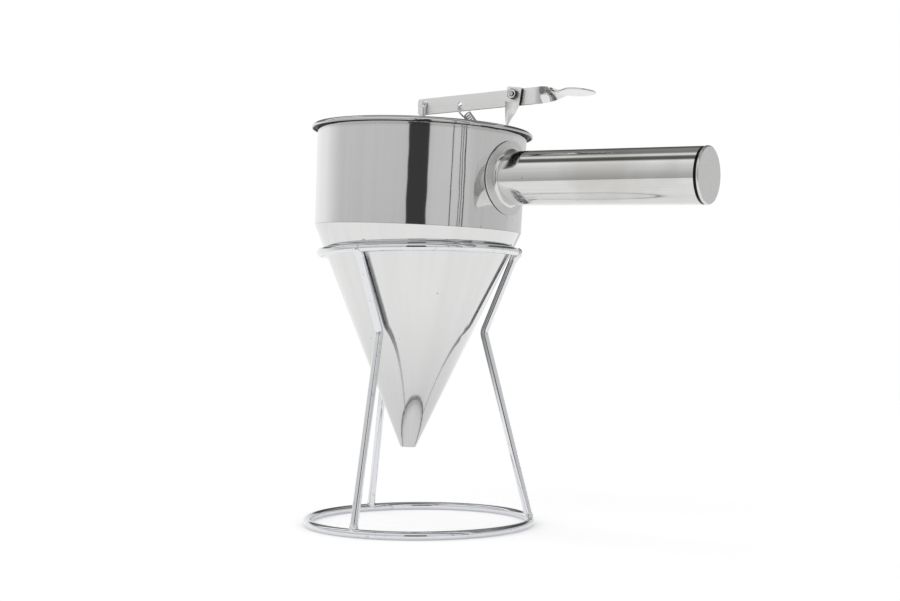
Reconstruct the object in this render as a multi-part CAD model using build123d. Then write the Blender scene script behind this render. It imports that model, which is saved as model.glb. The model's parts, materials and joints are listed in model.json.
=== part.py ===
from build123d import *
import os
from math import atan2, ceil, cos, pi, radians, sin, sqrt

# Batter dispenser: a hand-held steel hopper that stands in a wire stand.
# Frame of the whole object: millimetres, +Z up, origin under the middle of the base ring, handle along +X.
# The hopper and all that it carries are drawn upright in the hopper's own frame, whose origin is the middle
# of the rim's top plane, and are then leaned into the stand's top ring.

# Wire stand
ring_wire = 5.0            # wire of both rings
leg_wire = 4.8             # wire of the legs
base_ring_dia = 137.5      # on the wire's centre line
ring_inset = 3.25          # hopper's shoulder to the top ring's centre line
top_ring_height = 167.0    # wire's centre above the table
waist_height = 117.8       # legs' bends above the table
leg_bend = 7.0             # bend radius on the wire's centre line
leg_turns = {"leg_right": 24.7, "leg_back": 152.5, "leg_front": 269.7}   # bends, degrees round from the handle
leg_skews = {"leg_right": 0.0, "leg_back": -1.4, "leg_front": 2.7}       # degrees round from head to foot
waist_gaps = {"leg_right": 4.6, "leg_back": 0.2, "leg_front": 2.5}       # bends to the leaning cone

# Hopper
sheet = 0.8                # sheet of drum and cone
shoulder_dia = 127.5       # outside, where drum and cone meet
mouth_dia = 129.5          # outside of the drum's wall at the rim's plane
drum_height = 61.8
cone_height = 134.6
outlet_dia = 9.6           # outside of the cut tip
rim_overhang = 3.7         # how far the rolled rim stands out from the wall
rim_curl = 16.0            # degrees that the rolled rim turns in below its outermost line
hopper_lean = 3.2          # degrees that the handle's weight tips the hopper in its ring
seat_gap = 0.25            # between the cone and the top ring's wire
weld_gap = 0.05            # between a piece and the curved wall that it is welded to

# Handle
handle_drop = 30.7         # handle's axis below the rim's plane, at the hopper's axis
handle_rise = 0.25         # degrees that the handle climbs outward
tube_dia = 32.0
tube_wall = 1.0
tube_length = 111.7
collar_dia = 44.2
collar_sheet = 1.2
collar_reach = 11.3        # drum's wall to the joint of collar and tube
collar_flare = 1.8         # radius between the collar's flange and neck
cap_dia = 32.4
cap_thick = 1.45
cap_round = 0.8
cap_groove = 1.65          # open line between tube and cap
cap_seat = 0.4             # how much of the tube's wall the cap bears on, inside that line
cap_spigot = 6.0
cap_fit = 0.05

# Lever and its bracket, both bent from one strip
strip_width = 10.0
strip_thick = 1.0
pivot_reach = 64.4         # pivot from the hopper's axis
pivot_height = 19.5        # pivot above the rim's plane
lever_tilt = 2.7           # degrees that the thumb end stands above the rim's plane
lever_press = 10.0         # degrees that the thumb end goes down
pivot_rise = 1.6           # pivot above the strip's middle
lever_tail = 5.2           # rod hole to the rounded end
lever_corner = 1.8
rod_hole_dia = 4.4
rod_hole_rise = 1.4        # above the strip's middle
spring_hole_dia = 3.2
spring_hole_reach = 39.2   # from the pivot
spring_hole_drop = 1.1     # below the strip's middle
twist_start = 13.8         # from the pivot
twist_length = 17.4
twist_angle = 83.0
paddle_length = 21.5
paddle_width = 16.0
paddle_shoulder = 8.0      # twist to the paddle's widest place
paddle_round = 0.4         # along the paddle's edges
paddle_curve = 150.0       # radius of its downward curve
twist_steps = 8            # sections of a twist

ear_rise = 4.4             # pivot to the top of the bracket's ear
ear_drop = 4.6             # pivot to the start of the bracket's twist
ear_lean = 6.5             # degrees that the ear leans out
ear_corner = 1.2
foot_drop = 6.5            # end of the bracket's twist below the rim's plane
foot_slant = 28.0          # degrees at which the twisted strip comes back to the wall
rim_clearance = 0.1        # between the half-turned strip and the line of the wall at the rim's plane
fold_drop = 27.8           # corner of the bracket's fold below the rim's plane
fold_radius = 1.75         # on the strip's middle
tongue_hole_reach = 8.5    # corner of the fold to the spring's hole
tongue_hole_dia = 2.4
tongue_end = 3.0           # spring's hole to the tongue's end

# Pivot fasteners
bolt_dia = 3.0
bolt_head = 2.0
bolt_end = 1.1             # bolt standing out of the nut
bolt_chamfer = 0.25
hex_flats = 5.5
hex_chamfer = 0.3          # down the corners of nut and head
nut_height = 2.4
washer_dia = 6.4
pivot_clearance = 0.1      # all round the bolt
pivot_play = 0.1           # each side of the lever, along the bolt

# Pull rod and stopper
rod_dia = 3.0
rod_bend = 2.4             # on the rod's centre line
rod_tail = 3.5             # rod's end beyond the lever
rod_clearance = 0.25       # between the rod and the lever's face
stopper_length = 12.0
stopper_gap = 0.2          # to the inside of the cone
stopper_recess = 1.0       # above the cut tip
stopper_round = 1.0
rod_socket = 8.0

# Return spring
spring_wire = 0.95
coil_dia = 4.8             # on the wire's centre line
coil_turns = 22
hook_dia = 6.4             # upper hook, on the wire's centre line
hook_turn = 42.0           # degrees round the spring that the upper hook is turned from square to the lever
hook_reach = 7.0           # lever's hole or tongue's hole to the first turn
hook_lead = 60.0           # degrees of turn between a hook and the first turn
hook_clearance = 0.15      # hook in its hole

# Worked out from the sizes above
top_ring_dia = shoulder_dia - 2 * ring_inset
wall_taper = (mouth_dia - shoulder_dia) / 2 / drum_height
cone_taper = (shoulder_dia - outlet_dia) / 2 / cone_height
cone_angle = atan2(cone_taper, 1)
cone_sheet = sheet / cos(cone_angle)
tip_z = -drum_height - cone_height
washer_thick = rod_dia / 2 + rod_clearance - strip_thick / 2 - pivot_play
lever_y = strip_thick + washer_thick + pivot_play
lean = radians(hopper_lean)
tilt = radians(lever_tilt)
rod_travel_shift = pivot_reach * (1 - cos(radians(lever_press)))


# Outside radius of the drum's wall at a height in the hopper's frame
def wall_radius(z):
    return mouth_dia / 2 + z * wall_taper


# Where the cone settles in the top ring: the cone's apex, worked out for a leaned cone in a level ring of wire
spread = cos(lean) ** 2 - sin(cone_angle) ** 2
depth = top_ring_dia / 2 * spread / (sin(cone_angle) * cos(cone_angle))
hopper_axis = Vector(sin(lean), 0, cos(lean))
ring_apex = Vector(-depth * sin(lean) * cos(lean) / spread, 0, top_ring_height - depth)
cone_apex = ring_apex + hopper_axis * ((ring_wire / 2 + seat_gap) / sin(cone_angle))
rim_centre = cone_apex + hopper_axis * (shoulder_dia / 2 / cone_taper + drum_height)
seat = Location(rim_centre, (0, hopper_lean, 0))


# Outside of the leaning cone from the stand's axis, at the height of the bends and in a leg's direction:
# the point there whose line to the apex makes the cone's angle with its axis
def cone_reach(turn):
    way = Vector(cos(radians(turn)), sin(radians(turn)), 0)
    start = Vector(0, 0, waist_height) - cone_apex
    square = cos(cone_angle) ** 2
    bend = square - way.dot(hopper_axis) ** 2
    slope = square * start.dot(way) - start.dot(hopper_axis) * way.dot(hopper_axis)
    level = square * start.dot(start) - start.dot(hopper_axis) ** 2
    return (sqrt(slope ** 2 - bend * level) - slope) / bend


# A point of the lever's strip, along it from the pivot and above its middle, in the hopper's frame
def lever_point(along, above):
    rise = above - pivot_rise
    x = pivot_reach + along * cos(tilt) - rise * sin(tilt)
    z = pivot_height + along * sin(tilt) + rise * cos(tilt)
    return Vector(x, lever_y, z)


# The rod's hole stands as far short of the rod's axis at rest as it goes past it when pressed
rod_hole_along = (
    -pivot_reach - rod_travel_shift / 2 + (rod_hole_rise - pivot_rise) * sin(tilt)
) / cos(tilt)


def ring(diameter, height):
    return Pos(0, 0, height) * Torus(diameter / 2, ring_wire / 2)


def base_ring():
    return ring(base_ring_dia, ring_wire / 2)


def top_ring():
    return ring(top_ring_dia, top_ring_height)


def stand_point(radius, turn, height):
    return Vector(radius * cos(radians(turn)), radius * sin(radians(turn)), height)


# One bent leg, its ends coped to the rings
def leg(turn, skew, gap):
    waist_radius = cone_reach(turn) + (leg_wire / 2 + gap) / cos(cone_angle)
    foot = stand_point(base_ring_dia / 2, turn + skew / 2, ring_wire / 2)
    waist = stand_point(waist_radius, turn, waist_height)
    head = stand_point(top_ring_dia / 2, turn - skew / 2, top_ring_height)
    path = FilletPolyline(foot, waist, head, radius=leg_bend)
    body = sweep(Plane(path @ 0, z_dir=path % 0) * Circle(leg_wire / 2), path)
    return body - base_ring() - top_ring()


# Tapered drum with its top edge rolled outward into an open curl
def hopper_drum():
    curl = rim_overhang / 2
    slope = atan2(wall_taper, 1)
    up = Vector(sin(slope), cos(slope))
    out = Vector(cos(slope), -sin(slope))
    curl_z = -curl - sheet / 2
    start_z = curl_z + curl * sin(slope)
    start_x = wall_radius(start_z) - sheet / 2 / cos(slope)
    centre = Vector(start_x, start_z) + out * curl
    outer = curl + sheet / 2
    inner = curl - sheet / 2
    foot_outer = Vector(wall_radius(-drum_height), -drum_height)
    foot_inner = foot_outer - Vector(sheet / cos(slope), 0)
    end_way = out * cos(radians(rim_curl)) - up * sin(radians(rim_curl))
    edges = [
        Line(foot_inner, centre - out * outer),
        ThreePointArc(centre - out * outer, centre + up * outer, centre + end_way * outer),
        Line(centre + end_way * outer, centre + end_way * inner),
        ThreePointArc(centre + end_way * inner, centre + up * inner, centre - out * inner),
        Line(centre - out * inner, foot_outer),
        Line(foot_outer, foot_inner),
    ]
    return revolve(Plane.XZ * make_face(edges), Axis.Z)


def hopper_cone():
    shoulder = shoulder_dia / 2
    tip = outlet_dia / 2
    profile = Polyline(
        (shoulder, -drum_height),
        (tip, tip_z),
        (tip - cone_sheet, tip_z),
        (shoulder - cone_sheet, -drum_height),
        close=True,
    )
    return revolve(Plane.XZ * make_face(profile), Axis.Z)


# Solid that fills the drum out to a given distance outside its wall
def drum_fill(outside):
    fill = Cone(wall_radius(-drum_height) + outside, wall_radius(0) + outside, drum_height)
    return Pos(0, 0, -drum_height / 2) * fill


handle_axis = Pos(0, 0, -handle_drop) * Rot(0, 90 - handle_rise, 0)
collar_end = wall_radius(-handle_drop) + collar_reach
tube_end = collar_end + tube_length


# Round bar along the handle's axis
def handle_bar(diameter, start, end):
    return handle_axis * Pos(0, 0, (start + end) / 2) * Cylinder(diameter / 2, end - start)


# Saddle flange that hugs the drum, with a neck for the tube
def handle_collar():
    skin = drum_fill(weld_gap + collar_sheet) - drum_fill(weld_gap)
    flange = skin & handle_bar(collar_dia, 0, collar_end)
    neck = handle_bar(tube_dia, 0, collar_end) - drum_fill(weld_gap)
    collar = flange + neck
    flare_edges = [
        edge
        for edge in collar.edges()
        if abs(distance_to_handle_axis(edge @ 0.3) - tube_dia / 2) < 0.01 and (edge @ 0.3).X < collar_end - 1
    ]
    return fillet(flare_edges, collar_flare) - handle_bar(tube_dia - 2 * tube_wall, 0, collar_end)


def distance_to_handle_axis(point):
    place = (handle_axis.inverse() * Pos(point)).position
    return sqrt(place.X ** 2 + place.Y ** 2)


def handle_tube():
    bore = handle_bar(tube_dia - 2 * tube_wall, collar_end, tube_end)
    return handle_bar(tube_dia, collar_end, tube_end) - bore


# End disc with a rounded edge, a narrower neck that leaves a line, and a spigot inside the tube
def handle_end_cap():
    bore = tube_dia / 2 - tube_wall
    disc = Pos(0, 0, cap_groove + cap_thick / 2) * Cylinder(cap_dia / 2, cap_thick)
    disc = fillet(disc.edges().group_by(Axis.Z)[-1], cap_round)
    neck = Pos(0, 0, cap_groove / 2) * Cylinder(bore + cap_seat, cap_groove)
    spigot = Pos(0, 0, -cap_spigot / 2) * Cylinder(bore - cap_fit, cap_spigot)
    return handle_axis * Pos(0, 0, tube_end) * (disc + neck + spigot)


# Hole across the strips, along Y
def cross_hole(point, diameter):
    return Pos(point) * Rot(90, 0, 0) * Cylinder(diameter / 2, 4 * strip_width)


# Middle of the bracket's foot, flat on the drum's inner wall, at a height in the hopper's frame
def foot_point(z):
    inside = wall_radius(z) - sheet - weld_gap
    edge = sqrt(inside ** 2 - (strip_width / 2) ** 2)
    return Vector(edge - strip_thick / 2, 0, z)


spring_hole = lever_point(-spring_hole_reach, -spring_hole_drop)
fold_corner = foot_point(-fold_drop)
spring_pull = (Vector(spring_hole.X, 0, spring_hole.Z) - fold_corner).normalized()
tongue_hole = fold_corner + spring_pull * tongue_hole_reach + Vector(0, lever_y, 0)


# Bracket: an ear for the pivot, a quarter twist past the rim, a foot welded to the wall and a folded tongue
def lever_bracket():
    slope = radians(ear_lean)
    pivot = Vector(pivot_reach, 0, pivot_height)
    ear_up = Vector(sin(slope), 0, cos(slope))
    ear_out = Vector(cos(slope), 0, -sin(slope))
    ear_foot = pivot - ear_up * ear_drop
    foot_top = foot_point(-foot_drop)
    foot_down = (fold_corner - foot_top).normalized()
    slant = Vector(sin(radians(foot_slant)), 0, -cos(radians(foot_slant)))
    turn_at_rim = radians(90 * ear_foot.Z / (ear_foot.Z - foot_top.Z))
    reach_at_rim = strip_width / 2 * cos(turn_at_rim) + strip_thick / 2 * sin(turn_at_rim)
    inside_at_rim = sqrt((wall_radius(0) - sheet) ** 2 - (strip_width / 2) ** 2)
    rim_pass = Vector(inside_at_rim - rim_clearance - reach_at_rim, 0, 0)
    middle = Spline(ear_foot, rim_pass, foot_top, tangents=(-ear_up, slant))
    section = Rectangle(strip_width, strip_thick)
    planes = []
    for step in range(twist_steps + 1):
        part = step / twist_steps
        turn = radians(90 * part)
        across = ear_out * cos(turn) - Vector(0, sin(turn), 0)
        normal = -ear_up * (1 - part) + foot_down * part
        planes.append(Plane(middle @ part, x_dir=across, z_dir=normal))
    twist = loft([plane * section for plane in planes])
    ear = extrude(planes[0] * section, -(ear_rise + ear_drop))
    ear = fillet(ear.edges().filter_by(Axis.Y).group_by(Axis.Z)[-2:], ear_corner)
    tongue_tip = fold_corner + spring_pull * (tongue_hole_reach + tongue_end)
    bend = FilletPolyline(foot_top, fold_corner, tongue_tip, radius=fold_radius)
    foot = sweep(planes[-1] * section, bend)
    spring_drill = Plane(tongue_hole, z_dir=Vector(spring_pull.Z, 0, -spring_pull.X))
    spring_bore = spring_drill * Cylinder(tongue_hole_dia / 2, 3 * strip_thick)
    bolt_bore = cross_hole(pivot, bolt_dia + 2 * pivot_clearance)
    return ear + twist + foot - spring_bore - bolt_bore


# Hexagon with two upright flats, standing on the XY plane, its corners turned off at one end or both
def hexagon(height, ends):
    corner = hex_flats / sqrt(3)
    blank = extrude(Circle(corner), height)
    rims = blank.edges().group_by(Axis.Z)
    blank = chamfer([rims[end] for end in ends], hex_chamfer, hex_chamfer * sqrt(3))
    return blank & extrude(RegularPolygon(corner, 6, rotation=30), height)


# Frame of the pivot: its Z runs from the nut's side to the bolt head's side, from the ear's middle
pivot_frame = Pos(pivot_reach, 0, pivot_height) * Rot(-90, 0, 0)
lever_back = lever_y + strip_thick / 2
head_face = lever_back + pivot_play
nut_front = -strip_thick / 2 - nut_height


def pivot_bolt():
    front = nut_front - bolt_end
    shank = extrude(Circle(bolt_dia / 2), head_face - front)
    shank = Pos(0, 0, front) * chamfer(shank.edges().group_by(Axis.Z)[0], bolt_chamfer)
    head = Pos(0, 0, head_face) * hexagon(bolt_head, [-1])
    return pivot_frame * (shank + head)


def pivot_nut():
    nut = hexagon(nut_height, [0, -1]) - extrude(Circle(bolt_dia / 2), nut_height)
    return pivot_frame * Pos(0, 0, nut_front) * nut


def pivot_washer():
    flat = Circle(washer_dia / 2) - Circle(bolt_dia / 2 + pivot_clearance)
    return pivot_frame * Pos(0, 0, strip_thick / 2) * extrude(flat, washer_thick)


# Lever: a strip on edge, twisted a quarter turn into a curved thumb paddle
def thumb_lever():
    end = rod_hole_along - lever_tail
    length = twist_start - end
    flat = Pos((twist_start + end) / 2, 0, 0) * Box(length, strip_thick, strip_width)
    flat = fillet(flat.edges().filter_by(Axis.Y).group_by(Axis.X)[0], lever_corner)
    sections = []
    for step in range(twist_steps + 1):
        part = step / twist_steps
        turn = radians(twist_angle * part)
        place = (twist_start + twist_length * part, 0, 0)
        across = (0, -sin(turn), cos(turn))
        sections.append(Plane(place, x_dir=across, z_dir=(1, 0, 0)) * Rectangle(strip_width, strip_thick))
    strip = flat + loft(sections) + paddle()
    placed = Pos(pivot_reach, lever_y, pivot_height) * Rot(0, -lever_tilt, 0) * Pos(0, 0, -pivot_rise) * strip
    holes = [
        cross_hole((pivot_reach, lever_y, pivot_height), bolt_dia + 2 * pivot_clearance),
        cross_hole(lever_point(rod_hole_along, rod_hole_rise), rod_hole_dia),
        cross_hole(spring_hole, spring_hole_dia),
    ]
    return placed - holes


# Leaf-shaped thumb paddle, cut from a sheet that curves down towards its tip
def paddle():
    half = paddle_width / 2
    root = strip_width / 2
    nose = paddle_length - paddle_shoulder
    side = Spline((0, root), (paddle_shoulder, half), tangents=((1, 0), (1, 0)))
    tip = EllipticalCenterArc((paddle_shoulder, 0), nose, half, start_angle=0, arc_size=90)
    edges = [side, tip, mirror(tip, Plane.XZ), mirror(side, Plane.XZ), Line((0, -root), (0, root))]
    outline = extrude(make_face(edges), paddle_width, both=True)
    roller = Pos(0, 0, -paddle_curve) * Rot(90, 0, 0)
    curved = Cylinder(paddle_curve + strip_thick / 2, 2 * paddle_width)
    curved = curved - Cylinder(paddle_curve - strip_thick / 2, 2 * paddle_width)
    leaf = outline & (roller * curved)
    rims = leaf.edges().filter_by(Axis.Z, reverse=True).filter_by(lambda edge: edge.center().X > paddle_round)
    leaf = fillet(rims, paddle_round)
    turn = radians(twist_angle)
    root_plane = Plane((twist_start + twist_length, 0, 0), x_dir=(1, 0, 0), z_dir=(0, cos(turn), sin(turn)))
    return root_plane * leaf


# Pull rod: straight on the hopper's axis, its top bent square through the lever's hole
def pull_rod():
    bar_z = lever_point(rod_hole_along, rod_hole_rise).Z
    low = (0, 0, tip_z + stopper_recess + stopper_length - rod_socket)
    corner = (0, 0, bar_z)
    end = (0, lever_back + rod_tail, bar_z)
    path = FilletPolyline(low, corner, end, radius=rod_bend)
    return sweep(Plane(path @ 0, z_dir=path % 0) * Circle(rod_dia / 2), path)


# Conical stopper that closes the tip from inside, with a socket for the rod
def stopper():
    clear = cone_sheet + stopper_gap / cos(cone_angle)
    low = tip_z + stopper_recess
    high = low + stopper_length
    low_radius = outlet_dia / 2 + stopper_recess * cone_taper - clear
    high_radius = low_radius + stopper_length * cone_taper
    profile = Polyline((0, low), (low_radius, low), (high_radius, high), (0, high), close=True)
    body = revolve(Plane.XZ * make_face(profile), Axis.Z)
    body = fillet(body.edges().group_by(Axis.Z)[-1], stopper_round)
    return body - Pos(0, 0, high - rod_socket / 2) * Cylinder(rod_dia / 2, rod_socket)


# Two arcs that join two points and keep a given direction at each
def two_arcs(start, start_way, end, end_way):
    chord = end - start
    ways = start_way + end_way
    spread = 2 * (1 - start_way.dot(end_way))
    along = chord.dot(ways)
    reach = (sqrt(along ** 2 + spread * chord.dot(chord)) - along) / spread
    joint = (start + end + (start_way - end_way) * reach) / 2
    joint_way = (end - end_way * reach) - (start + start_way * reach)
    return [TangentArc(start, joint, tangent=start_way), TangentArc(joint, end, tangent=joint_way)]


# How far a hook's middle stands off the middle of its hole, towards the spring's other end
def hook_slack(hole_dia, hook_radius, slant):
    half_way = strip_thick / 2 / cos(slant)
    sag = hook_radius - sqrt(hook_radius ** 2 - half_way ** 2)
    room = hole_dia / 2 - spring_wire / 2 / cos(slant) - hook_clearance
    return sqrt(room ** 2 - (half_way * sin(slant)) ** 2) - sag


# Extension spring from the lever to the bracket's tongue: one wire with a hook at each end
def return_spring():
    radius = coil_dia / 2
    hook = hook_dia / 2
    slant = radians(hook_turn)
    down = (tongue_hole - spring_hole).normalized()
    upper = spring_hole + down * hook_slack(spring_hole_dia, hook, slant)
    lower = tongue_hole - down * hook_slack(tongue_hole_dia, radius, 0)
    near = Vector(0, -1, 0)
    under = down.cross(near)
    span = (lower - upper).length
    first = slant + radians(hook_lead)
    last = 2 * pi * coil_turns + pi / 2 - radians(hook_lead)
    climb = (span - 2 * hook_reach) / (last - first)

    def around(turn):
        return near * cos(turn) + under * sin(turn)

    def coil_point(turn):
        return upper + down * (hook_reach + climb * (turn - first)) + around(turn) * radius

    def coil_way(turn):
        return (down * climb + around(turn + pi / 2) * radius).normalized()

    upper_middle = upper + down * hook
    lower_middle = lower - down * radius
    tail = down * spring_wire
    side = around(slant) * hook
    edges = [Line(upper_middle - side + tail, upper_middle - side)]
    edges.append(ThreePointArc(upper_middle - side, upper, upper_middle + side))
    edges += two_arcs(upper_middle + side, down, coil_point(first), coil_way(first))
    steps = ceil((last - first) / pi)
    turns = [first + (last - first) * step / steps for step in range(steps + 1)]
    for turn, next_turn in zip(turns, turns[1:]):
        edges += two_arcs(coil_point(turn), coil_way(turn), coil_point(next_turn), coil_way(next_turn))
    edges += two_arcs(coil_point(last), coil_way(last), lower_middle + under * radius, down)
    edges.append(ThreePointArc(lower_middle + under * radius, lower, lower_middle - under * radius))
    edges.append(Line(lower_middle - under * radius, lower_middle - under * radius - tail))
    path = Wire(edges)
    print(f"return spring: least gap between its turns {least_gap(path):.2f} mm")
    return sweep(Plane(path @ 0, z_dir=path % 0) * Circle(spring_wire / 2), path)


# Smallest gap of the spring's wire to itself, measured on points a quarter of a wire apart
def least_gap(path):
    count = ceil(path.length / (spring_wire / 4))
    points = [path @ (number / count) for number in range(count + 1)]
    skip = 12
    nearest = min(
        (points[number] - other).length
        for number in range(count + 1)
        for other in points[number + skip:]
    )
    return nearest - spring_wire


stand_pieces = {"base_ring": base_ring(), "top_ring": top_ring()}
for name, turn in leg_turns.items():
    stand_pieces[name] = leg(turn, leg_skews[name], waist_gaps[name])

hopper_pieces = {
    "hopper_drum": hopper_drum(),
    "hopper_cone": hopper_cone(),
    "handle_collar": handle_collar(),
    "handle_tube": handle_tube(),
    "handle_end_cap": handle_end_cap(),
    "lever_bracket": lever_bracket(),
    "pivot_bolt": pivot_bolt(),
    "pivot_nut": pivot_nut(),
    "pivot_washer": pivot_washer(),
    "thumb_lever": thumb_lever(),
    "pull_rod": pull_rod(),
    "stopper": stopper(),
    "return_spring": return_spring(),
}

os.makedirs("parts", exist_ok=True)
for name, piece in stand_pieces.items():
    export_step(piece, f"parts/{name}.step")
for name, piece in hopper_pieces.items():
    export_step(seat * piece, f"parts/{name}.step")
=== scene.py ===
import bpy
import json
import math
import numpy as np
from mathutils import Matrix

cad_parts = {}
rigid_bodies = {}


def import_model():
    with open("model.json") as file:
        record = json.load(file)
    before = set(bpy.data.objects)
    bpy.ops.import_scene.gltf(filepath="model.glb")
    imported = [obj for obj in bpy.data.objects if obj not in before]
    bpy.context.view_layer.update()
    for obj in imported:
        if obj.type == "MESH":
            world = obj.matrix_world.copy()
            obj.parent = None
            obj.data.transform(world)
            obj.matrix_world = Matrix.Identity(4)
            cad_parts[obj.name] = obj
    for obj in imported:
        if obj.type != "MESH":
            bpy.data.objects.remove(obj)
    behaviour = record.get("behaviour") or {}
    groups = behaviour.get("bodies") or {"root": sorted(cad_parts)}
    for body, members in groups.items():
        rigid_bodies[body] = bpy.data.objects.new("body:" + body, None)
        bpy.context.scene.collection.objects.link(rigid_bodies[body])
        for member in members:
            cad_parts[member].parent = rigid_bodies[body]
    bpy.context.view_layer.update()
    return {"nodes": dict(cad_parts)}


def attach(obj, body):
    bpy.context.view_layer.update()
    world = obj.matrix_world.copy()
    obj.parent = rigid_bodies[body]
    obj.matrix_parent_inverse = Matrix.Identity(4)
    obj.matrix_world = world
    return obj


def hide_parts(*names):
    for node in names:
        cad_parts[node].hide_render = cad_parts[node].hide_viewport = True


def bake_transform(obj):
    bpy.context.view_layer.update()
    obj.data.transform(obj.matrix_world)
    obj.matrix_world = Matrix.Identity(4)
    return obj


for leftover in list(bpy.data.objects):  # start from an empty scene
    bpy.data.objects.remove(leftover)

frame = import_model()
nodes = frame["nodes"]
print("frame loaded,", len(nodes), "nodes")

mm = 0.001
viewTurn = math.radians(34.314)  # the camera's place round the object

hopper = {  # the hopper's own frame: origin in the middle of the rim's top plane, leaning in the stand
    "origin": np.array((2.7819, 0.0, 243.2545)) * mm,
    "lean": math.radians(3.2),
}


def fromHopper(points):  # hopper frame to world frame, metres
    c, s = math.cos(hopper["lean"]), math.sin(hopper["lean"])
    turn = np.array(((c, 0, s), (0, 1, 0), (-s, 0, c)))
    return np.asarray(points) @ turn.T + hopper["origin"]


class Value:  # an output socket; arithmetic on it adds Math nodes to its tree
    def __init__(self, graph, socket):
        self.graph = graph
        self.socket = socket

    def out(self, name):  # another output of the same node
        return Value(self.graph, self.socket.node.outputs[name])

    def __add__(self, other):
        return self.graph.maths("ADD", self, other)

    def __radd__(self, other):
        return self.graph.maths("ADD", other, self)

    def __sub__(self, other):
        return self.graph.maths("SUBTRACT", self, other)

    def __rsub__(self, other):
        return self.graph.maths("SUBTRACT", other, self)

    def __mul__(self, other):
        return self.graph.maths("MULTIPLY", self, other)

    def __rmul__(self, other):
        return self.graph.maths("MULTIPLY", other, self)

    def __truediv__(self, other):
        return self.graph.maths("DIVIDE", self, other)

    def __abs__(self):
        return self.graph.maths("ABSOLUTE", self)

    def above(self, low, high):  # 0 below low, 1 above high, smooth between
        return self.graph.add(
            "ShaderNodeMapRange", {"interpolation_type": "SMOOTHSTEP"},
            {"Value": self, "From Min": low, "From Max": high})

    def within(self, low, lowFull, highFull, high):  # 1 between the two full places, 0 past the outer ones
        return self.above(low, lowFull) * (1 - self.above(highFull, high))


class Graph:  # one node tree
    def __init__(self, tree):
        self.tree = tree
        tree.nodes.clear()

    def add(self, kind, settings=None, inputs=None, output=0):  # any node: settings, then values or links
        node = self.tree.nodes.new(kind)
        for key, value in (settings or {}).items():
            if key == "stops":
                self.setStops(node.color_ramp, value)
            else:
                setattr(node, key, value)
        for key, value in (inputs or {}).items():
            if isinstance(value, Value):
                self.tree.links.new(value.socket, node.inputs[key])
            else:
                node.inputs[key].default_value = value
        return Value(self, node.outputs[output]) if len(node.outputs) else node

    def setStops(self, ramp, stops):  # grey stops as (place, level)
        while len(ramp.elements) < len(stops):
            ramp.elements.new(0.5)
        for element, (place, level) in zip(ramp.elements, stops):
            element.position = place
            element.color = (level, level, level, 1)

    def maths(self, operation, *values):
        return self.add("ShaderNodeMath", {"operation": operation}, dict(enumerate(values)))

    def length(self, first, second):  # of a vector with these two parts
        return self.maths("SQRT", first * first + second * second)

    def mix(self, factor, first, second):  # two colours
        return self.add(
            "ShaderNodeMix", {"data_type": "RGBA"}, {0: factor, 6: first, 7: second}, 2)

    def parts(self, vector):  # x, y and z of a vector
        split = self.add("ShaderNodeSeparateXYZ", None, {0: vector})
        return split, split.out("Y"), split.out("Z")

    def noise(self, vector, scale, detail=2.0):
        return self.add(
            "ShaderNodeTexNoise", None, {"Vector": vector, "Scale": scale, "Detail": detail})

    def scaled(self, vector, scale):
        return self.add(
            "ShaderNodeVectorMath", {"operation": "MULTIPLY"}, {0: vector, 1: scale})

    def bump(self, height, distance, normal=None):
        links = {"Height": height, "Distance": distance, "Strength": 1.0}
        if normal is not None:
            links["Normal"] = normal
        return self.add("ShaderNodeBump", None, links)

    def turnedPoint(self, origin, lean):  # object point in a frame that leans about the y axis
        return self.add(
            "ShaderNodeMapping", {"vector_type": "TEXTURE"},
            {"Vector": objectPoint(self), "Location": origin, "Rotation": (0, lean, 0)})


def newMaterial(name):
    material = bpy.data.materials.new(name)
    material.use_nodes = True
    return material, Graph(material.node_tree)


def objectPoint(graph):
    return graph.add("ShaderNodeTexCoord", None, None, "Object")


def hopperPoint(graph):  # object point turned back into the hopper's upright frame
    return graph.turnedPoint(hopper["origin"], hopper["lean"])


def finishMetal(graph, look, colour, roughness, normal, metallic=1.0):  # constants stay on the shader itself
    shader = graph.add("ShaderNodeBsdfPrincipled", None, {
        "Base Color": colour,
        "Metallic": metallic,
        "Roughness": roughness,
        "Anisotropic": look.get("anisotropy", 0.0),
        "Anisotropic Rotation": look.get("anisotropyTurn", 0.0),
        "Normal": normal,
    })
    graph.add("ShaderNodeOutputMaterial", None, {"Surface": shader})


def dress(material, *names):  # give CAD nodes their finish
    for name in names:
        slots = nodes[name].data.materials
        slots.clear()
        slots.append(material)


# Inside of drum and cone, dull with use, and painted paler than the outside: painted light standing in for
# the light that barely reaches it

insideFinishAndLight = {
    # painted light: paler than the outside sheet
    "colour": (0.92, 0.92, 0.915, 1),
    "roughness": 0.20,                  # added to the outside's
    "metallic": 0.60,
    "halfSheet": 0.4 * mm,
    "fade": (-0.2 * mm, 0.2 * mm),      # across the sheet, out from its middle
}


def insideMask(depth):  # 1 on the inner face; depth runs out from the sheet's middle
    return 1 - depth.above(*insideFinishAndLight["fade"])


# Drum: rolled sheet with an uneven mirror finish, faint upright streaks, a weld line, a rolled rim with
# painted shade in its hollow, and painted shade on the wall below the rim

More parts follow.
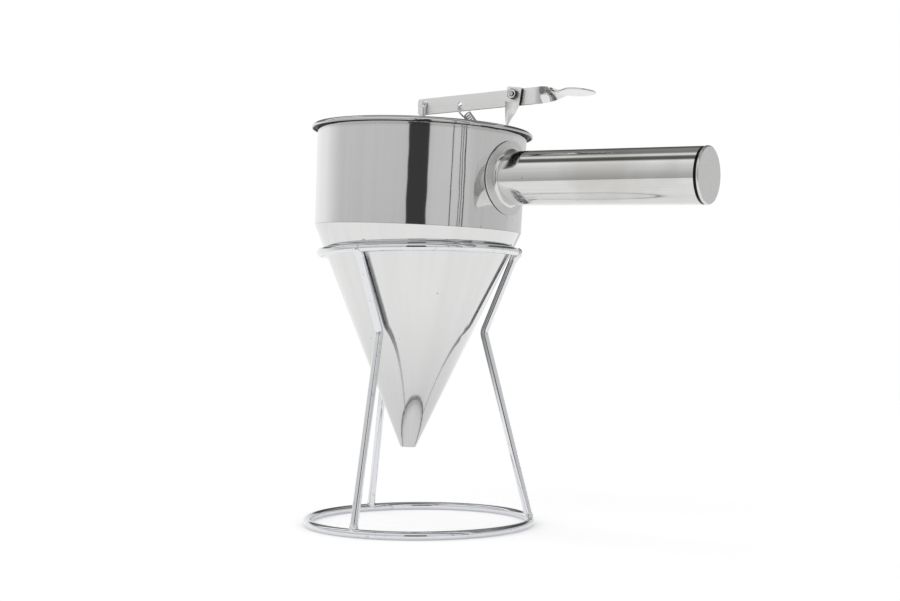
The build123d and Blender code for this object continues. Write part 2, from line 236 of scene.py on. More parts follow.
drum = {
    "colour": (0.76, 0.76, 0.757, 1),
    "streakColour": (0.72, 0.72, 0.717, 1),
    "rimColour": (0.62, 0.62, 0.615, 1),
    # painted shade: near black inside the rim's hollow
    "hollowShadeColour": (0.05, 0.05, 0.05, 1),
    "pitColour": (0.16, 0.16, 0.16, 1),
    # also the colour of the painted shade below the rim
    "seamAndShadeColour": (0.20, 0.20, 0.20, 1),
    "roughness": 0.065,
    "grainRoughness": 0.04,
    "hollowRoughness": 0.4,
    "anisotropy": 0.6,
    "anisotropyTurn": 0.25,
    "grain": (25, 25, 2600),            # lines per metre: long round the axis, fine along it
    "grainDepth": 0.4e-6,
    "streaks": (210, 210, 5),           # upright streaks per metre
    "streakRange": (0.4, 0.65),         # noise where a streak starts and where it is full
    "streakAmount": 0.6,
    "waves": 24,                        # waviness per metre
    "waveDepth": 380e-6,
    "pits": 210,
    "pitRange": (0.80, 0.84),
    "pitAmount": 0.5,
    "seam": (0.088 * mm, 0.22 * mm),    # weld line on the handle's side: half of its core, half of its width
    "seamSide": (0, 10 * mm),
    "seamTop": (-17 * mm, -15 * mm),
    "underFlangeLine": (-55.4 * mm, -55.0 * mm, -52.0 * mm, -51.0 * mm),   # a short dark line under the flange
    "seamAmount": 0.55,
    "curl": (66.16 * mm, -2.25 * mm),   # middle of the rolled rim: from the axis, from the rim's plane
    "hollow": (1.55 * mm, 1.75 * mm),   # the hollow ends and the rim's metal starts, from that middle
    "rim": (2.45 * mm, 2.8 * mm),
    "rimDents": 190,
    "rimDentDepth": 60e-6,
    "rimShade": (-7.0 * mm, -2.6 * mm),  # painted shade: the wall darkens up towards the rim
    "rimShadeAmount": 0.6,
    "foot": (-61.65 * mm, -61.4 * mm),  # dark line of the weld to the cone
    "footAmount": 0.5,
    "mouth": 64.75 * mm,                # outside of the wall at the rim's plane
    "taper": 0.01618,
}


def offDrumWall(graph, point):  # distance out from the drum's outer wall
    x, y, z = graph.parts(point)
    return graph.length(x, y) - drum["mouth"] - z * drum["taper"]


def makeDrumSheet():
    material, graph = newMaterial("drumSheet")
    point = hopperPoint(graph)
    x, y, z = graph.parts(point)
    grain = graph.noise(graph.scaled(point, drum["grain"]), 1.0, 4.0)
    streaks = graph.noise(graph.scaled(point, drum["streaks"]), 1.0, 2.0).above(*drum["streakRange"])
    waves = graph.noise(point, drum["waves"], 2.0)
    pits = graph.noise(point, drum["pits"], 1.0).above(*drum["pitRange"])
    dents = graph.noise(point, drum["rimDents"], 1.0)
    curlReach, curlHeight = drum["curl"]
    away = graph.length(graph.length(x, y) - curlReach, z - curlHeight)
    rim = 1 - away.above(*drum["rim"])
    hollow = 1 - away.above(*drum["hollow"])
    inside = insideMask(offDrumWall(graph, point) + insideFinishAndLight["halfSheet"]) * (1 - rim)
    line = (1 - abs(y).above(*drum["seam"])) * x.above(*drum["seamSide"])
    line = line * (z.above(*drum["seamTop"]) + z.within(*drum["underFlangeLine"]))
    foot = 1 - z.above(*drum["foot"])
    under = z.above(*drum["rimShade"])
    colour = graph.mix(streaks * drum["streakAmount"], drum["colour"], drum["streakColour"])
    colour = graph.mix(pits * drum["pitAmount"], colour, drum["pitColour"])
    colour = graph.mix(line * drum["seamAmount"], colour, drum["seamAndShadeColour"])
    colour = graph.mix(foot * drum["footAmount"], colour, drum["seamAndShadeColour"])
    # painted shade on the wall just below the rim
    colour = graph.mix(under * under * drum["rimShadeAmount"], colour, drum["seamAndShadeColour"])
    colour = graph.mix(rim, colour, drum["rimColour"])
    # painted shade inside the rim's hollow
    colour = graph.mix(hollow, colour, drum["hollowShadeColour"])
    # painted light on the inner face: a paler colour
    colour = graph.mix(inside, colour, insideFinishAndLight["colour"])
    roughness = (drum["roughness"] + (grain - 0.5) * drum["grainRoughness"]
                 + hollow * drum["hollowRoughness"] + inside * insideFinishAndLight["roughness"])
    normal = graph.bump(waves, drum["waveDepth"])
    normal = graph.bump(dents * rim, drum["rimDentDepth"], normal)
    normal = graph.bump(grain, drum["grainDepth"], normal)
    finishMetal(graph, drum, colour, roughness, normal, 1 - inside * (1 - insideFinishAndLight["metallic"]))
    return material


dress(makeDrumSheet(), "hopper_drum")


# Cone: spun and polished, with painted shade darkening it towards its tip, and fine lines round the axis

cone = {
    "topColour": (0.72, 0.72, 0.716, 1),
    # painted shade: darker towards the tip
    "tipShadeColour": (0.59, 0.59, 0.587, 1),
    "streakColour": (0.66, 0.66, 0.657, 1),
    "pitColour": (0.16, 0.16, 0.16, 1),
    "shoulder": (63.31 * mm, -61.8 * mm),   # middle of the sheet: from the axis, from the rim's plane
    "taper": 0.438,
    "tipShade": (-180 * mm, -95 * mm),   # painted shade: from the tip's dark colour to the top's, from the rim's plane
    "roughness": 0.055,
    "grainRoughness": 0.04,
    "grain": (25, 25, 1800),
    "grainDepth": 0.06e-6,
    "streaks": (9, 9, 14),              # streaks down the sheet: places round the axis, then per metre
    "streakRange": (0.4, 0.7),
    "streakAmount": 0.3,
    "waves": 30,
    "waveDepth": 60e-6,
    "pits": 260,
    "pitRange": (0.79, 0.83),
    "pitAmount": 0.5,
}


def makeConeSheet():
    material, graph = newMaterial("coneSheet")
    point = hopperPoint(graph)
    x, y, z = graph.parts(point)
    off = graph.length(x, y)
    around = graph.add("ShaderNodeCombineXYZ", None, {"X": x / off, "Y": y / off, "Z": z})
    streaks = graph.noise(graph.scaled(around, cone["streaks"]), 1.0, 3.0).above(*cone["streakRange"])
    grain = graph.noise(graph.scaled(point, cone["grain"]), 1.0, 4.0)
    waves = graph.noise(point, cone["waves"], 1.0)
    pits = graph.noise(point, cone["pits"], 1.0).above(*cone["pitRange"])
    shoulderReach, shoulderHeight = cone["shoulder"]
    inside = insideMask(off - shoulderReach - (z - shoulderHeight) * cone["taper"])
    # painted shade, darker towards the tip
    colour = graph.mix(z.above(*cone["tipShade"]), cone["tipShadeColour"], cone["topColour"])
    colour = graph.mix(streaks * cone["streakAmount"], colour, cone["streakColour"])
    colour = graph.mix(pits * cone["pitAmount"], colour, cone["pitColour"])
    # painted light on the inner face: a paler colour
    colour = graph.mix(inside, colour, insideFinishAndLight["colour"])
    roughness = (cone["roughness"] + (grain - 0.5) * cone["grainRoughness"]
                 + inside * insideFinishAndLight["roughness"])
    normal = graph.bump(waves, cone["waveDepth"])
    normal = graph.bump(grain, cone["grainDepth"], normal)
    finishMetal(graph, cone, colour, roughness, normal, 1 - inside * (1 - insideFinishAndLight["metallic"]))
    return material


dress(makeConeSheet(), "hopper_cone")


# Handle: polished tube with lines along it and brownish smudges, satin flange, dull cap behind a painted
# shadow line in its groove

handle = {
    "start": fromHopper(np.array((0.0, 0.0, -30.7)) * mm),   # where the handle's axis crosses the hopper's
    "slope": hopper["lean"] - math.radians(0.25),
    "colour": (0.68, 0.68, 0.67, 1),
    "grainColour": (0.61, 0.605, 0.595, 1),
    "smudgeColour": (0.56, 0.55, 0.53, 1),
    "pitColour": (0.10, 0.10, 0.10, 1),
    "roughness": 0.075,
    "grainRoughness": 0.05,
    "smudgeRoughness": 0.06,
    "grain": (14, 1500, 1500),
    "grainRange": (0.4, 0.7),
    "grainAmount": 0.5,
    "grainDepth": 0.35e-6,
    "smudges": 24,
    "smudgeRange": (0.48, 0.68),
    "smudgeAmount": 0.75,
    "pits": 330,
    "pitRange": (0.78, 0.83),
    "pitAmount": 0.4,
}

collar = {
    "neck": (17.2 * mm, 18.4 * mm),      # from the neck's polish to the flange's satin, off the axis
    "neckRoughness": 0.13,
    "flangeColour": (0.70, 0.70, 0.695, 1),
    "flangeRoughness": 0.38,
    "speckRange": (0.72, 0.8),
    "speckAmount": 0.5,
    "speckDepth": 3e-6,
    "edge": (21.8 * mm, 22.0 * mm),
    "edgeShadow": (0.40 * mm, 0.65 * mm),  # painted shade where the flange's edge meets the drum, out from its wall
    "edgeShadowColour": (0.06, 0.06, 0.06, 1),
}

cap = {
    "colour": (0.72, 0.72, 0.715, 1),
    "roughness": 0.30,
    "groove": (188.903 * mm, 189.253 * mm),   # painted shadow in the groove ends here, along the axis
    "grooveShadowColour": (0.015, 0.015, 0.015, 1),
    "scratches": (60, 900, 900),
    "scratchRange": (0.4, 0.7),
    "scratchAmount": 0.4,
    "scratchRoughness": 0.1,
    "scratchDepth": 0.3e-6,
}


def handlePoint(graph):  # x along the handle's axis from the hopper's, y and z off it
    return graph.turnedPoint(handle["start"], handle["slope"])


def makePolishedTube():
    material, graph = newMaterial("polishedTube")
    point = handlePoint(graph)
    grain = graph.noise(graph.scaled(point, handle["grain"]), 1.0, 3.0)
    smudges = graph.noise(point, handle["smudges"], 3.0)
    pits = graph.noise(point, handle["pits"], 1.0).above(*handle["pitRange"])
    colour = graph.mix(
        grain.above(*handle["grainRange"]) * handle["grainAmount"], handle["colour"], handle["grainColour"])
    colour = graph.mix(
        smudges.above(*handle["smudgeRange"]) * handle["smudgeAmount"], colour, handle["smudgeColour"])
    colour = graph.mix(pits * handle["pitAmount"], colour, handle["pitColour"])
    roughness = (handle["roughness"] + (grain - 0.5) * handle["grainRoughness"]
                 + (smudges - 0.5) * handle["smudgeRoughness"])
    finishMetal(graph, handle, colour, roughness, graph.bump(grain, handle["grainDepth"]))
    return material


def makeCollarFinish():
    material, graph = newMaterial("collarSteel")
    point = handlePoint(graph)
    x, y, z = graph.parts(point)
    off = graph.length(y, z)
    satin = off.above(*collar["neck"])
    specks = graph.noise(point, handle["pits"], 2.0)
    lift = offDrumWall(graph, hopperPoint(graph))
    # painted shade at the flange's edge, next to the drum
    line = off.above(*collar["edge"]) * (1 - lift.above(*collar["edgeShadow"]))
    colour = graph.mix(satin, handle["colour"], collar["flangeColour"])
    colour = graph.mix(
        specks.above(*collar["speckRange"]) * satin * collar["speckAmount"], colour, handle["pitColour"])
    colour = graph.mix(line, colour, collar["edgeShadowColour"])
    roughness = collar["neckRoughness"] + satin * (collar["flangeRoughness"] - collar["neckRoughness"])
    finishMetal(graph, collar, colour, roughness, graph.bump(specks, collar["speckDepth"]))
    return material


def makeCapFinish():
    material, graph = newMaterial("capSteel")
    point = handlePoint(graph)
    x = graph.parts(point)[0]
    scratches = graph.noise(graph.scaled(point, cap["scratches"]), 1.0, 3.0)
    colour = graph.mix(
        scratches.above(*cap["scratchRange"]) * cap["scratchAmount"], cap["colour"], handle["grainColour"])
    # painted shadow in the groove before the cap
    colour = graph.mix(1 - x.above(*cap["groove"]), colour, cap["grooveShadowColour"])
    roughness = cap["roughness"] + (scratches - 0.5) * cap["scratchRoughness"]
    finishMetal(graph, cap, colour, roughness, graph.bump(scratches, cap["scratchDepth"]))
    return material


dress(makePolishedTube(), "handle_tube")
dress(makeCollarFinish(), "handle_collar")
dress(makeCapFinish(), "handle_end_cap")


# Bright wire of the stand, with small dull spots and painted shade on the side of the legs that faces the
# cone

stand = {  # middle of the legs' wire, mm: off the stand's axis, above the table
    "head": (60.5, 167.0),
    "waist": (41.0, 117.8),
    "foot": (68.75, 2.5),
}

brightWire = {
    "colour": (0.75, 0.76, 0.78, 1),
    "dullColour": (0.58, 0.585, 0.59, 1),
    # painted shade on the side of the legs that faces the cone
    "paintedShadeColour": (0.16, 0.16, 0.165, 1),
    "roughness": 0.035,
    "dullRoughness": 0.07,
    "spots": 320,
    "spotRange": (0.6, 0.75),
    "spotAmount": 0.7,
    "waves": 120,
    "waveDepth": 22e-6,
    "paintedShadeSide": (-1.4 * mm, -0.1 * mm),     # across the wire, out from its middle
    "paintedShadeHeight": (60 * mm, 118 * mm, 159 * mm, 164 * mm),
    "paintedShadeAmount": 0.7,
}


def makeBrightWire():
    material, graph = newMaterial("brightWire")
    point = objectPoint(graph)
    x, y, z = graph.parts(point)
    spots = graph.noise(point, brightWire["spots"], 2.0).above(*brightWire["spotRange"])
    waves = graph.noise(point, brightWire["waves"], 2.0)
    reach, height = stand["waist"]
    headSpread = (stand["head"][0] - reach) / (stand["head"][1] - height)
    footSpread = (stand["foot"][0] - reach) / (height - stand["foot"][1])
    climb = z - height * mm
    across = graph.length(x, y) - reach * mm - graph.maths("MAXIMUM", climb * headSpread, climb * -footSpread)
    # painted shade on the legs' side towards the cone
    paintedShade = z.within(*brightWire["paintedShadeHeight"]) * (1 - across.above(*brightWire["paintedShadeSide"]))
    colour = graph.mix(spots * brightWire["spotAmount"], brightWire["colour"], brightWire["dullColour"])
    colour = graph.mix(paintedShade * brightWire["paintedShadeAmount"], colour, brightWire["paintedShadeColour"])
    roughness = brightWire["roughness"] + spots * brightWire["dullRoughness"]
    finishMetal(graph, brightWire, colour, roughness, graph.bump(waves, brightWire["waveDepth"]))
    return material


wireMaterial = makeBrightWire()
dress(wireMaterial, "base_ring", "top_ring", "leg_right", "leg_back", "leg_front")


# Strip of lever and bracket: satin flats, polished twist and paddle, a warm tint where it was bent hot,
# painted shade on the ear's edge and on the lever beside it, and painted shade along the lever's lower edge

pivot = (64.4 * mm, 19.5 * mm)   # lever's pivot: out from the hopper's axis, up from the rim's plane

strip = {
    "colour": (0.98, 0.98, 0.975, 1),
    "grainColour": (0.91, 0.91, 0.905, 1),
    "polishColour": (0.74, 0.74, 0.735, 1),
    "tintColour": (0.76, 0.72, 0.66, 1),
    # painted shade for the ear's edge and the lever beside it
    "shadeBandColour": (0.08, 0.08, 0.08, 1),
    # painted shade along the lever's lower edge
    "lowEdgeShadeColour": (0.20, 0.20, 0.20, 1),
    "roughness": 0.45,
    "polish": 0.12,
    "grainRoughness": 0.10,
    "leverGrain": (40, 2200, 2200),       # lines per metre, along the lever
    "uprightGrain": (2200, 2200, 40),
    "grainRange": (0.4, 0.7),
    "grainAmount": 0.5,
    "grainDepth": 0.5e-6,
    "waves": 90,
    "waveDepth": 12e-6,
    "tint": 70,
    "tintRange": (0.5, 0.7),
    "faintTint": 0.1,
    "strongTint": 0.6,
    "twist": (76 * mm, 80 * mm),          # the lever's twist starts here, out from the hopper's axis
    "earLean": math.radians(6.5),
    "earEdgeShade": (4.90 * mm, 4.98 * mm, 9 * mm, 9.5 * mm),     # painted shade on the ear's edge, out from the pivot
    "leverShadeLine": (3.6 * mm, 4.0 * mm, 4.9 * mm, 5.3 * mm),  # painted shade on the lever beside the ear
    "leverTilt": math.radians(2.7),
    "lowEdgeShade": (-6.55 * mm, -6.35 * mm),  # painted shade along the lever's lower edge, up from the pivot
    "never": (1.0, 2.0, 3.0, 4.0),        # metres, past the whole object
    "always": (-2.0, -1.0),               # metres, short of it
}


def makeStripFinish(name, grainScale, tintAmount, polishFrom, shadeBand, lowEdgeShade):
    material, graph = newMaterial(name)
    point = hopperPoint(graph)
    x, y, z = graph.parts(point)
    grain = graph.noise(graph.scaled(point, grainScale), 1.0, 3.0)
    waves = graph.noise(point, strip["waves"], 1.0)
    tint = graph.noise(point, strip["tint"], 2.0).above(*strip["tintRange"])
    polished = x.above(*polishFrom)
    along, rise = x - pivot[0], z - pivot[1]
    out = along * math.cos(strip["earLean"]) - rise * math.sin(strip["earLean"])
    up = rise * math.cos(strip["leverTilt"]) - along * math.sin(strip["leverTilt"])
    colour = graph.mix(
        grain.above(*strip["grainRange"]) * strip["grainAmount"], strip["colour"], strip["grainColour"])
    colour = graph.mix(tint * tintAmount, colour, strip["tintColour"])
    # painted shade along the lever's lower edge
    colour = graph.mix(1 - up.above(*lowEdgeShade), colour, strip["lowEdgeShadeColour"])
    colour = graph.mix(polished, colour, strip["polishColour"])
    # painted shade in a band: the ear's edge, and the lever beside the ear
    colour = graph.mix(out.within(*shadeBand), colour, strip["shadeBandColour"])
    roughness = (strip["roughness"] + polished * (strip["polish"] - strip["roughness"])
                 + (grain - 0.5) * strip["grainRoughness"])
    normal = graph.bump(waves, strip["waveDepth"])
    finishMetal(graph, strip, colour, roughness, graph.bump(grain, strip["grainDepth"], normal))
    return material


leverFinish = makeStripFinish(
    "leverStrip", strip["leverGrain"], strip["faintTint"], strip["twist"], strip["leverShadeLine"],
    strip["lowEdgeShade"])
bracketFinish = makeStripFinish(
    "bracketStrip", strip["uprightGrain"], strip["strongTint"], strip["never"][:2], strip["earEdgeShade"],
    strip["always"])
rodFinish = makeStripFinish(
    "rodSteel", strip["uprightGrain"], strip["faintTint"], strip["always"], strip["never"], strip["always"])
dress(leverFinish, "thumb_lever")
dress(bracketFinish, "lever_bracket")
dress(rodFinish, "pull_rod", "stopper")


# Fasteners and spring wire: turning marks; nut and bolt have bright faces, dark sides and a dark thread line

machined = {
    "colour": (0.60, 0.60, 0.60, 1),
    "markColour": (0.42, 0.42, 0.42, 1),
    "faceColour": (0.88, 0.88, 0.875, 1),
    "darkColour": (0.05, 0.05, 0.05, 1),
    "roughness": 0.16,
    "markRoughness": 0.12,
    "marks": 1400,
    "markRange": (0.45, 0.75),
    "markAmount": 0.6,
    "markDepth": 2e-6,
    "sides": (2.45 * mm, 2.65 * mm),      # from the pivot's axis: faces end and the hexagon's sides begin
    "thread": (1.35 * mm, 1.5 * mm, 1.5 * mm, 1.75 * mm),
    "face": (1.5 * mm, 1.75 * mm),
}


def makeMachined(name, hexagon):
    material, graph = newMaterial(name)
    point = hopperPoint(graph)
    marks = graph.noise(point, machined["marks"], 2.0)
    colour = graph.mix(
        marks.above(*machined["markRange"]) * machined["markAmount"],
        machined["colour"], machined["markColour"])
    if hexagon:
        x, y, z = graph.parts(point)
        off = graph.length(x - pivot[0], z - pivot[1])
        dark = graph.maths("MAXIMUM", off.within(*machined["thread"]), off.above(*machined["sides"]))
        colour = graph.mix(off.above(*machined["face"]), colour, machined["faceColour"])
        colour = graph.mix(dark, colour, machined["darkColour"])
    roughness = machined["roughness"] + (marks - 0.5) * machined["markRoughness"]
    finishMetal(graph, machined, colour, roughness, graph.bump(marks, machined["markDepth"]))
    return material


dress(makeMachined("nutSteel", True), "pivot_bolt", "pivot_nut")
dress(makeMachined("washerSteel", False), "pivot_washer")
springMaterial = makeMachined("springWire", False)
print("finishes on the CAD nodes")


def gridMesh(name, points, material):  # points[ring, place round the ring] to a tube with closed ends
    rings, sides = points.shape[:2]
    ring, side = np.meshgrid(np.arange(rings - 1), np.arange(sides), indexing="ij")
    after = (side + 1) % sides
    near, far = ring * sides, (ring + 1) * sides
    faces = np.stack((near + side, near + after, far + after, far + side), -1).reshape(-1, 4).tolist()
    faces.append(list(range(sides))[::-1])
    faces.append(list(range((rings - 1) * sides, rings * sides)))
    mesh = bpy.data.meshes.new(name)
    mesh.from_pydata(points.reshape(-1, 3).tolist(), [], faces)
    mesh.polygons.foreach_set("use_smooth", np.ones(len(mesh.polygons), bool))
    mesh.materials.append(material)
    mesh.validate()
    piece = bpy.data.objects.new(name, mesh)
    bpy.context.scene.collection.objects.link(piece)
    return piece


def unit(vectors):
    return vectors / np.linalg.norm(vectors, axis=-1, keepdims=True)


# Extension spring: a circle carried along hook, coil and hook, stretching between lever and hopper

spring = {
    "upperHole": (25.371, 2.25, 14.956),   # lever's hole, hopper frame, mm
    "lowerHole": (57.158, 2.25, -21.401),  # tongue's hole, hopper frame, mm
    "upperSlack": 0.6028,                  # how far each hook's wire hangs below its hole's middle
    "lowerSlack": 0.5223,
    "wire": 0.95,
    "coil": 4.8,
    "turns": 22,
    "upperHook": 3.2,
    "upperTurn": math.radians(42),         # upper hook's plane, round the spring's axis
    "hookReach": 7.0,
    "hookLead": math.radians(60),
    "tail": (1.2, 0.3),                    # wires past each hook's arc: its end, its start
    "leadPull": 1.1,                       # how far a lead keeps to its end directions
    "stiffEnd": 3.5,                       # of each hook, which doesn't stretch
    "sides": 14,
    "turnRings": 36,
    "hookRings": 26,
    "leadRings": 30,
    "tailRings": 3,
}


def makeSpring():
    radius = spring["coil"] / 2
    upperHole, lowerHole = np.array(spring["upperHole"]), np.array(spring["lowerHole"])
    down = unit(lowerHole - upperHole)
    upper = upperHole + down * spring["upperSlack"]
    lower = lowerHole - down * spring["lowerSlack"]
    near = np.array((0.0, -1.0, 0.0))
    under = np.cross(down, near)
    first = spring["upperTurn"] + spring["hookLead"]
    last = 2 * math.pi * spring["turns"] + math.pi / 2 - spring["hookLead"]
    climb = (np.linalg.norm(lower - upper) - 2 * spring["hookReach"]) / (last - first)

    def around(turn):
        return np.cos(turn)[:, None] * near + np.sin(turn)[:, None] * under

    def coil(turn):  # circle round the axis, moving down it at a steady rate
        return upper + down * (spring["hookReach"] + climb * (turn - first))[:, None] + around(turn) * radius

    def coilWay(turn):
        return down * climb + around(turn + math.pi / 2) * radius

    def hook(middle, side, size, angles):  # half circle in the plane of side and down
        return middle + size * (np.cos(angles)[:, None] * side - np.sin(angles)[:, None] * down)

    def joining(start, startWay, end, endWay):  # cubic that keeps both directions
        t = np.linspace(0, 1, spring["leadRings"])[1:-1, None]
        size = np.linalg.norm(end - start) * spring["leadPull"]
        return ((2 * t ** 3 - 3 * t ** 2 + 1) * start + (t ** 3 - 2 * t ** 2 + t) * unit(startWay) * size
                + (3 * t ** 2 - 2 * t ** 3) * end + (t ** 3 - t ** 2) * unit(endWay) * size)

    turns = np.linspace(first, last, spring["turns"] * spring["turnRings"])
    coilPoints = coil(turns)
    ways = coilWay(np.array((first, last)))
    arc = np.linspace(math.pi, 0, spring["hookRings"])
    upperSide = around(np.array([spring["upperTurn"]]))[0]
    upperHook = hook(upper + down * spring["upperHook"], upperSide, spring["upperHook"], arc)
    lowerHook = hook(lower - down * radius, under, radius, -arc[::-1])
    tail = down * spring["wire"] * np.linspace(*spring["tail"], spring["tailRings"])[:, None]
    upperTail, lowerTail = upperHook[0] + tail, lowerHook[-1] - tail[::-1]
    upperLead = joining(upperHook[-1], down, coilPoints[0], ways[0])
    lowerLead = joining(coilPoints[-1], ways[1], lowerHook[0], down)
    path = np.concatenate((upperTail, upperHook, upperLead, coilPoints, lowerLead, lowerHook, lowerTail))
    lead = np.linspace(0, 1, len(upperLead))[:, None]
    ends = around(np.array((first, last)))
    upperAcross = np.cross(down, upperSide)
    side = np.concatenate((
        np.repeat(upperAcross[None], len(upperTail) + len(upperHook), 0),
        upperAcross * (1 - lead) + ends[0] * lead,
        around(turns),
        ends[1] * (1 - lead) + near * lead,
        np.repeat(near[None], len(lowerHook) + len(lowerTail), 0)))
    way = unit(np.gradient(path, axis=0))
    side = unit(side - (side * way).sum(1, keepdims=True) * way)
    across = np.cross(way, side)
    angle = np.linspace(0, 2 * math.pi, spring["sides"], endpoint=False)
    tube = path[:, None] + spring["wire"] / 2 * (
        np.cos(angle)[None, :, None] * side[:, None] + np.sin(angle)[None, :, None] * across[:, None])
    piece = gridMesh("returnSpring", fromHopper(tube * mm), springMaterial)
    stiffEnd = down * spring["stiffEnd"]
    tuple(fromHopper((upper + stiffEnd) * mm))
    tuple(fromHopper((lower - stiffEnd) * mm))
    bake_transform(piece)
    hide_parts("return_spring")


makeSpring()
print("spring wound")


# Welds of the stand: a round carried along each leg's end, swelling over the ring and closing past it

welds = {
    "heads": {"Right": 24.7, "Back": 153.2, "Front": 268.35},   # degrees round the stand
    "feet": {"Right": 24.7, "Back": 151.8, "Front": 271.05},
    "headProfile": (                      # place along the leg from its end, radius
        (-6.5, 2.30), (-5.0, 2.52), (-2.5, 2.62), (-0.5, 2.55), (1.0, 2.2), (2.0, 1.5), (2.5, 0.05)),
    "footProfile": (
        (-6.0, 2.30), (-4.6, 2.50), (-3.2, 2.65), (-2.2, 2.70), (-1.2, 2.60), (0.0, 2.1), (1.2, 0.05)),
    "headOutward": 1.3,                   # the head's bead sits on the ring's outer face
    "footOutward": 0.0,
    "outwardOver": 5,                     # along the leg, the way that this takes
    "outwardBend": 1.5,
    "lump": 0.05,
    "lumpGrows": 3,
    "lumpEnds": 2,
    "lumps": ((3, 0.9, 1.0), (5, -1.3, 0.7)),   # round the bead, twist along it, strength
    "sides": 40,
    "rings": 36,
}


def makeWeld(name, turn, end, way, profile, outward):  # radius by place along the leg, with slow lumps
    place, size = np.array(profile).T
    along = np.linspace(place[0], place[-1], welds["rings"])
    radius = np.interp(along, place, size)
    radius[1:-1] = (radius[:-2] + 2 * radius[1:-1] + radius[2:]) / 4
    angle = np.linspace(0, 2 * math.pi, welds["sides"], endpoint=False)
    swell = (np.clip((along - place[0]) / welds["lumpGrows"], 0, 1)
             * np.clip((place[-1] - along) / welds["lumpEnds"], 0, 1))
    (wide, wideTwist, wideSize), (fine, fineTwist, fineSize) = welds["lumps"]
    lumps = (wideSize * np.sin(wide * angle[None] + turn + wideTwist * along[:, None])
             + fineSize * np.sin(fine * angle[None] + fineTwist * along[:, None]))
    radius = radius[:, None] * (1 + welds["lump"] * swell[:, None] * lumps)
    out = np.array((math.cos(turn), math.sin(turn), 0.0))
    side = np.array((-math.sin(turn), math.cos(turn), 0.0))
    across = np.cross(way, side)
    shift = outward * np.clip((along - place[0]) / welds["outwardOver"], 0, 1) ** welds["outwardBend"]
    middle = end + along[:, None] * way + shift[:, None] * out
    points = middle[:, None] + radius[..., None] * (
        np.cos(angle)[None, :, None] * side + np.sin(angle)[None, :, None] * across)
    piece = gridMesh(name, points * mm, wireMaterial)
    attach(piece, "stand")


def standPoint(place, turn):  # a place on the legs' wire, turned round the stand
    radius, height = place
    return np.array((radius * math.cos(turn), radius * math.sin(turn), height))


for leg in welds["heads"]:
    headTurn, footTurn = math.radians(welds["heads"][leg]), math.radians(welds["feet"][leg])
    waist = standPoint(stand["waist"], (headTurn + footTurn) / 2)
    head = standPoint(stand["head"], headTurn)
    foot = standPoint(stand["foot"], footTurn)
    makeWeld("weldHead" + leg, headTurn, head, unit(head - waist), welds["headProfile"], welds["headOutward"])
    makeWeld("weldFoot" + leg, footTurn, foot, unit(foot - waist), welds["footProfile"], welds["footOutward"])
print("welds laid")


# Floor, studio and camera

stage = {  # the floor lies square to the camera
    "left": 0.62,
    "right": 1.3,
    "front": 0.56,
    "back": 1.6,
    "colour": (0.8, 0.8, 0.8, 1),
    "glow": (0.62, 0.62, 0.62, 1),
    "shadowGlow": (0.18, 0.18, 0.19, 1),
    "shadowReach": 0.08,
    "shadowSamples": 16,
}


def makeFloor():
    c, s = math.cos(viewTurn), math.sin(viewTurn)
    across = np.array((-stage["left"], stage["right"], stage["right"], -stage["left"]))
    towards = np.array((stage["front"], stage["front"], -stage["back"], -stage["back"]))
    corners = np.stack((across * c + towards * s, across * s - towards * c, np.zeros(4)), -1)
    mesh = bpy.data.meshes.new("floor")
    mesh.from_pydata(corners.tolist(), [], [(0, 1, 2, 3)])
    material, graph = newMaterial("paleFloor")
    near = graph.add(
        "ShaderNodeAmbientOcclusion", {"samples": stage["shadowSamples"]},
        {"Distance": stage["shadowReach"]}, "AO")
    glow = graph.mix(near, stage["shadowGlow"], stage["glow"])  # paler away from what stands on it
    paper = graph.add("ShaderNodeBsdfPrincipled", None, {
        "Base Color": stage["colour"],
        "Roughness": 1.0,
        "Specular IOR Level": 0.0,
        "Emission Color": glow,
        "Emission Strength": 1.0,
    })
    graph.add("ShaderNodeOutputMaterial", None, {"Surface": paper})
    mesh.materials.append(material)
    floor = bpy.data.objects.new("floor", mesh)
    bpy.context.scene.collection.objects.link(floor)


studio = {
    "brightest": 2,                     # level at the ramp's white
    "overhead": (                       # degrees from the front horizon over the top to the back one, level
        (0, 0.60), (9, 0.67), (17, 0.73), (30, 0.82), (43, 0.90), (52, 1.0), (57, 1.06), (61, 0.62),
        (65, 0.11), (77, 0.16), (83, 0.32), (95, 0.33), (107, 0.25), (122, 0.32), (134, 0.18), (147, 0.08),
        (180, 0.08)),
    "strip": (78, 85, 91, 98),          # strip light overhead, degrees: where it rises and where it falls
    "stripFade": (-0.53, -0.45),        # its far end, along x
    "stripDim": 0.6,
    "stripLevel": 1.5,
    "rightFill": (5, 20, 48, 62),
    "rightFillLevel": 0.07,
    "frontLevel": 0.60,
    "frontRise": 0.43,                  # per radian of height
    "backdrop": 1.0,
    "backRight": 0.62,
    "backTop": (12, 22),                # degrees of height where the backdrop ends
    "backDark": 0.10,
    "backLeft": (-0.4, 0.2),            # the white backdrop ends here in the metal, from left to right
    "behind": (92, 138),
    "overheadFrom": (14, 30),
    "gap": (-3.1, 10.0, 11.6),          # dark gap in front, degrees: middle, core, edge
    "gapTop": (14, 34),
    "gapLevel": 0.05,
    "lines": (                          # thin dark uprights: place, half width, depth
        (33.6, 0.5, 0.95), (42.9, 0.4, 0.95), (45.3, 0.45, 0.9), (48.2, 0.65, 0.97)),
    "lineEdge": (0.4, 1.5),             # half widths where a line is full and where it ends
}


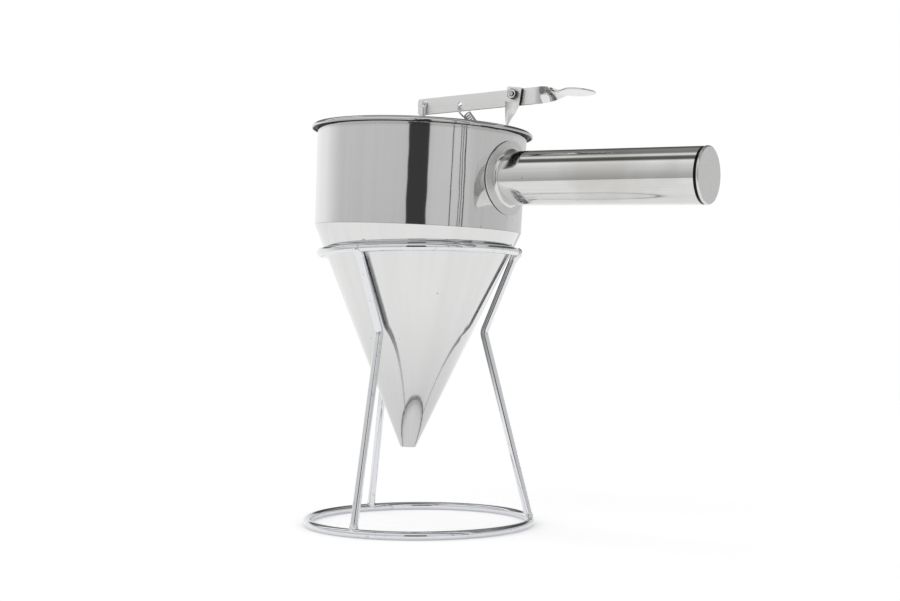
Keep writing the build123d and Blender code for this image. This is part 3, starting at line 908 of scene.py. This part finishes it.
def makeStudio():
    world = bpy.data.worlds.new("studio")
    bpy.context.scene.world = world
    world.use_nodes = True
    graph = Graph(world.node_tree)

    def step(value, places):  # smooth step between two places in degrees
        return value.above(math.radians(places[0]), math.radians(places[1]))

    x, y, z = graph.parts(graph.add("ShaderNodeTexCoord", None, None, "Generated"))
    c, s = math.cos(viewTurn), math.sin(viewTurn)
    towards, right = x * s - y * c, x * c + y * s
    turn = graph.maths("ARCTAN2", right, towards)
    height = graph.maths("ARCSINE", z)
    roll = graph.maths("ARCTAN2", z, 0 - y)
    stops = [(place / 180, level / studio["brightest"]) for place, level in studio["overhead"]]
    overhead = graph.add("ShaderNodeValToRGB", {"stops": stops}, {0: roll / math.pi}) * studio["brightest"]
    stripLight = roll.within(*np.radians(studio["strip"]).tolist())
    stripLight = stripLight * (1 - x.above(*studio["stripFade"]) * studio["stripDim"])
    overhead = overhead + stripLight * studio["stripLevel"]
    fill = turn.within(*np.radians(studio["rightFill"]).tolist()) * studio["rightFillLevel"]
    front = studio["frontLevel"] + height * studio["frontRise"] + fill
    behind = step(abs(turn), studio["behind"])
    wall = studio["backRight"] * (1 - step(height, studio["backTop"])) + studio["backDark"]
    level = front * (1 - behind) + wall * behind
    high = step(height, studio["overheadFrom"])
    level = level * (1 - high) + overhead * high
    gapMiddle, gapCore, gapEdge = studio["gap"]
    gap = 1 - step(abs(turn - math.radians(gapMiddle)), (gapCore, gapEdge))
    gap = gap * (1 - step(height, studio["gapTop"]))
    level = level * (1 - gap) + gap * studio["gapLevel"]
    for middle, half, depth in studio["lines"]:
        away = abs(turn - math.radians(middle))
        edge = [half * place for place in studio["lineEdge"]]
        level = level * (1 - (1 - step(away, edge)) * depth)
    path = graph.add("ShaderNodeLightPath", None, None, "Is Camera Ray")
    mirrored = path.out("Is Glossy Ray") + path.out("Is Transmission Ray")
    backdrop = behind * (1 - step(height, studio["backTop"])) * (1 - right.above(*studio["backLeft"]))
    seen = graph.maths("MAXIMUM", path, mirrored * backdrop)  # white for the camera, and behind in the metal
    level = level * (1 - seen) + seen * studio["backdrop"]
    glow = graph.add("ShaderNodeBackground", None, {"Color": level, "Strength": 1.0})
    graph.add("ShaderNodeOutputWorld", None, {"Surface": glow})


camera = {
    "distance": 0.831759,
    "height": 0.114248,
    "yaw": math.radians(-1.326),
    "pitch": math.radians(1.609),
    "lens": 53.72,
    "sensor": 36,
    "clip": (0.01, 20),
}


def makeCamera():
    data = bpy.data.cameras.new("camera")
    data.sensor_fit = "HORIZONTAL"
    data.sensor_width = camera["sensor"]
    data.lens = camera["lens"]
    data.clip_start, data.clip_end = camera["clip"]
    body = bpy.data.objects.new("camera", data)
    body.location = (math.sin(viewTurn) * camera["distance"],
                     -math.cos(viewTurn) * camera["distance"], camera["height"])
    body.rotation_euler = (math.pi / 2 + camera["pitch"], 0, viewTurn + camera["yaw"])
    bpy.context.scene.collection.objects.link(body)
    bpy.context.scene.camera = body


makeFloor()
makeStudio()
makeCamera()
bpy.context.scene.view_settings.view_transform = "Standard"
print("studio and camera")
